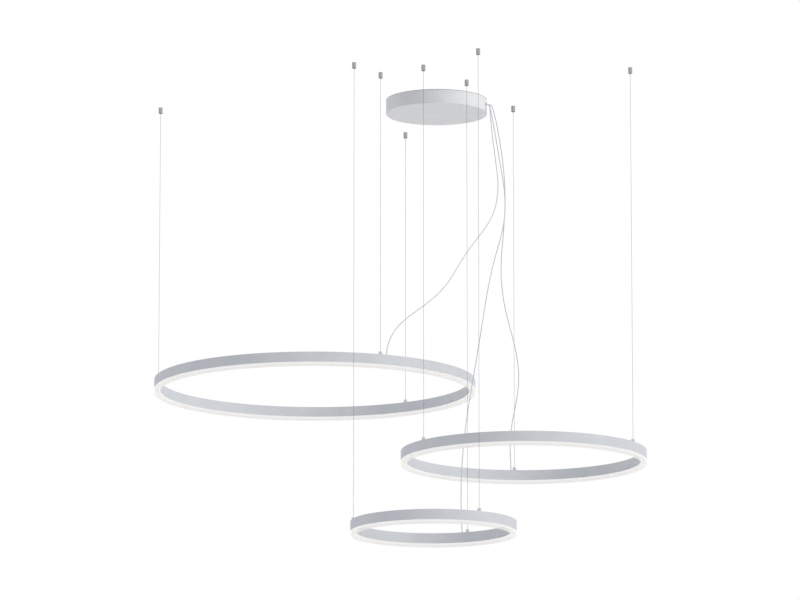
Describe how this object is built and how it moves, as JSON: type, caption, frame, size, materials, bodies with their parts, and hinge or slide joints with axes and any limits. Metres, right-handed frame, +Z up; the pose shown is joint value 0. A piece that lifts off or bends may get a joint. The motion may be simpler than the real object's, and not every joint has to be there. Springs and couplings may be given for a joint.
{
  "type": "led ring chandelier",
  "caption": "Ceiling chandelier of staggered LED rings of different sizes, hung on thin steel wires and fed by cords from a round canopy.",
  "frame": {"origin": "on the ceiling plane, at the canopy's axis", "axes": "+Z up towards the ceiling, -Y towards the viewer of the picture, +X to the right"},
  "size_m": [1.8208, 1.573, 1.7445],
  "materials": {
    "painted_aluminium": "light grey powder coat",
    "painted_steel": "light grey powder coat",
    "raw_aluminium": "mill finish",
    "opal_plastic": "satin opal",
    "board": "white solder resist",
    "chrome_plate": "polished chrome",
    "zinc_steel": "zinc plated",
    "spring_steel": "bright spring steel",
    "wire_steel": "stranded stainless steel",
    "brass_plated": "plain brass",
    "grey_rubber": "soft rubber",
    "white_plastic": "white moulded plastic",
    "sheath": "clear-grey cord sheath"
  },
  "bodies": {
    "canopy": {"ceiling_plate": "zinc_steel", "canopy_cover": "painted_steel", "cover_clips": "spring_steel", "outlet_grommet": "grey_rubber", "cord_clamp": "white_plastic", "clamp_cap": "white_plastic", "mains_terminal": "white_plastic", "supply_leads": "sheath", "earth_stud": "brass_plated", "plate_screws": "zinc_steel", "anchor_bases": "zinc_steel", "gripper_cups": "chrome_plate", "gripper_barrels": "brass_plated", "gripper_springs": "spring_steel", "large_driver": "white_plastic", "medium_driver": "white_plastic", "small_driver": "white_plastic"},
    "large_ring": {"large_channel": "painted_aluminium", "large_diffuser": "opal_plastic", "large_led_tray": "raw_aluminium", "large_led_board": "board", "large_tray_screws": "zinc_steel", "large_holder_bases": "chrome_plate", "large_holder_caps": "chrome_plate", "large_holder_nuts": "zinc_steel", "large_wires": "wire_steel", "large_cord_grommet": "grey_rubber", "large_feed_cord": "sheath"},
    "large_release_1": {"large_release_1": "chrome_plate"},
    "large_release_2": {"large_release_2": "chrome_plate"},
    "large_release_3": {"large_release_3": "chrome_plate"},
    "medium_ring": {"medium_channel": "painted_aluminium", "medium_diffuser": "opal_plastic", "medium_led_tray": "raw_aluminium", "medium_led_board": "board", "medium_tray_screws": "zinc_steel", "medium_holder_bases": "chrome_plate", "medium_holder_caps": "chrome_plate", "medium_holder_nuts": "zinc_steel", "medium_wires": "wire_steel", "medium_cord_grommet": "grey_rubber", "medium_feed_cord": "sheath"},
    "medium_release_1": {"medium_release_1": "chrome_plate"},
    "medium_release_2": {"medium_release_2": "chrome_plate"},
    "medium_release_3": {"medium_release_3": "chrome_plate"},
    "small_ring": {"small_channel": "painted_aluminium", "small_diffuser": "opal_plastic", "small_led_tray": "raw_aluminium", "small_led_board": "board", "small_tray_screws": "zinc_steel", "small_holder_bases": "chrome_plate", "small_holder_caps": "chrome_plate", "small_holder_nuts": "zinc_steel", "small_wires": "wire_steel", "small_cord_grommet": "grey_rubber", "small_feed_cord": "sheath"},
    "small_release_1": {"small_release_1": "chrome_plate"},
    "small_release_2": {"small_release_2": "chrome_plate"},
    "small_release_3": {"small_release_3": "chrome_plate"}
  },
  "joints": [
    {"name": "large_ring_height", "type": "slide", "parent": "canopy", "child": "large_ring", "axis": [0, 0, 1], "range_m": [0, 0.2], "deforming": ["large_wires", "large_feed_cord"]},
    {"name": "medium_ring_height", "type": "slide", "parent": "canopy", "child": "medium_ring", "axis": [0, 0, 1], "range_m": [0, 0.2], "deforming": ["medium_wires", "medium_feed_cord"]},
    {"name": "small_ring_height", "type": "slide", "parent": "canopy", "child": "small_ring", "axis": [0, 0, 1], "range_m": [0, 0.2], "deforming": ["small_wires", "small_feed_cord"]},
    {"name": "large_release_1_push", "type": "slide", "parent": "canopy", "child": "large_release_1", "axis": [0, 0, 1], "range_m": [0, 0.0015], "stiffness_N_per_m": 500, "springref_m": -0.003, "deforming": ["gripper_springs"]},
    {"name": "large_release_2_push", "type": "slide", "parent": "canopy", "child": "large_release_2", "axis": [0, 0, 1], "range_m": [0, 0.0015], "stiffness_N_per_m": 500, "springref_m": -0.003, "deforming": ["gripper_springs"]},
    {"name": "large_release_3_push", "type": "slide", "parent": "canopy", "child": "large_release_3", "axis": [0, 0, 1], "range_m": [0, 0.0015], "stiffness_N_per_m": 500, "springref_m": -0.003, "deforming": ["gripper_springs"]},
    {"name": "medium_release_1_push", "type": "slide", "parent": "canopy", "child": "medium_release_1", "axis": [0, 0, 1], "range_m": [0, 0.0015], "stiffness_N_per_m": 500, "springref_m": -0.003, "deforming": ["gripper_springs"]},
    {"name": "medium_release_2_push", "type": "slide", "parent": "canopy", "child": "medium_release_2", "axis": [0, 0, 1], "range_m": [0, 0.0015], "stiffness_N_per_m": 500, "springref_m": -0.003, "deforming": ["gripper_springs"]},
    {"name": "medium_release_3_push", "type": "slide", "parent": "canopy", "child": "medium_release_3", "axis": [0, 0, 1], "range_m": [0, 0.0015], "stiffness_N_per_m": 500, "springref_m": -0.003, "deforming": ["gripper_springs"]},
    {"name": "small_release_1_push", "type": "slide", "parent": "canopy", "child": "small_release_1", "axis": [0, 0, 1], "range_m": [0, 0.0015], "stiffness_N_per_m": 500, "springref_m": -0.003, "deforming": ["gripper_springs"]},
    {"name": "small_release_2_push", "type": "slide", "parent": "canopy", "child": "small_release_2", "axis": [0, 0, 1], "range_m": [0, 0.0015], "stiffness_N_per_m": 500, "springref_m": -0.003, "deforming": ["gripper_springs"]},
    {"name": "small_release_3_push", "type": "slide", "parent": "canopy", "child": "small_release_3", "axis": [0, 0, 1], "range_m": [0, 0.0015], "stiffness_N_per_m": 500, "springref_m": -0.003, "deforming": ["gripper_springs"]}
  ]
}
